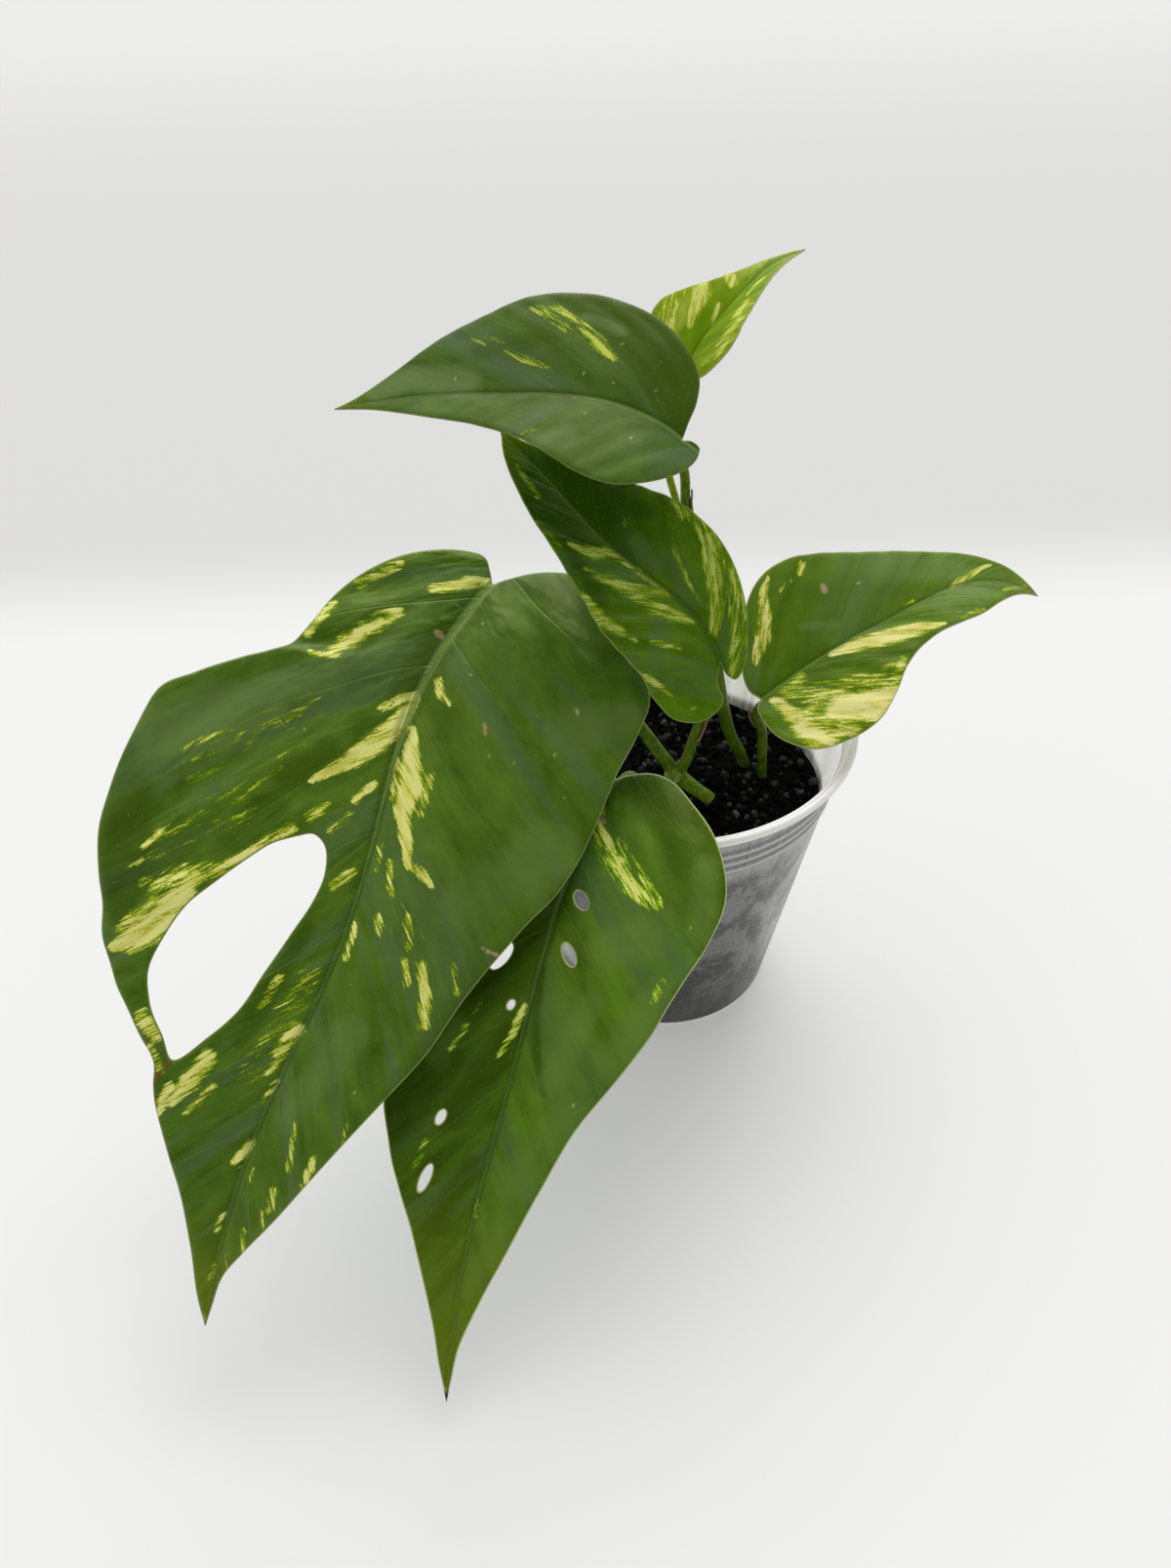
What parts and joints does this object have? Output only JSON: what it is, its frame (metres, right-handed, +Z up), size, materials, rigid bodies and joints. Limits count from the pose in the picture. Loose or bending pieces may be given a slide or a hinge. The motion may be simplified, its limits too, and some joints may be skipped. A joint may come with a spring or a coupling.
{
  "type": "potted aroid plant",
  "caption": "Potted variegated Epipremnum pinnatum, a rooted cutting with split and heart-shaped marbled leaves in a small translucent nursery cup of dark soil.",
  "frame": {"origin": "middle of the cup's underside, on the surface it stands on", "axes": "+Z up along the cup's axis, -Y towards the plant's front, +X to the right seen from the front"},
  "size_m": [0.2219, 0.1802, 0.1826],
  "materials": {
    "cup_plastic": "satin",
    "soil_mix": "matte",
    "blade_marbled": "satin",
    "blade_pale": "satin",
    "stalk_green": "satin",
    "sheath_dry": "matte"
  },
  "bodies": {
    "root": {"pot": "cup_plastic", "soil": "soil_mix", "stem_front": "stalk_green", "stem_rear": "stalk_green", "petiole_split": "stalk_green", "petiole_low": "stalk_green", "petiole_top": "stalk_green", "petiole_middle": "stalk_green", "petiole_side": "stalk_green", "petiole_young": "stalk_green", "leaf_split": "blade_marbled", "leaf_low": "blade_marbled", "leaf_top": "blade_marbled", "leaf_middle": "blade_marbled", "leaf_side": "blade_marbled", "leaf_young": "blade_pale", "sheath_shoot": "sheath_dry", "sheath_fork": "sheath_dry", "sheath_side": "sheath_dry"}
  },
  "joints": []
}
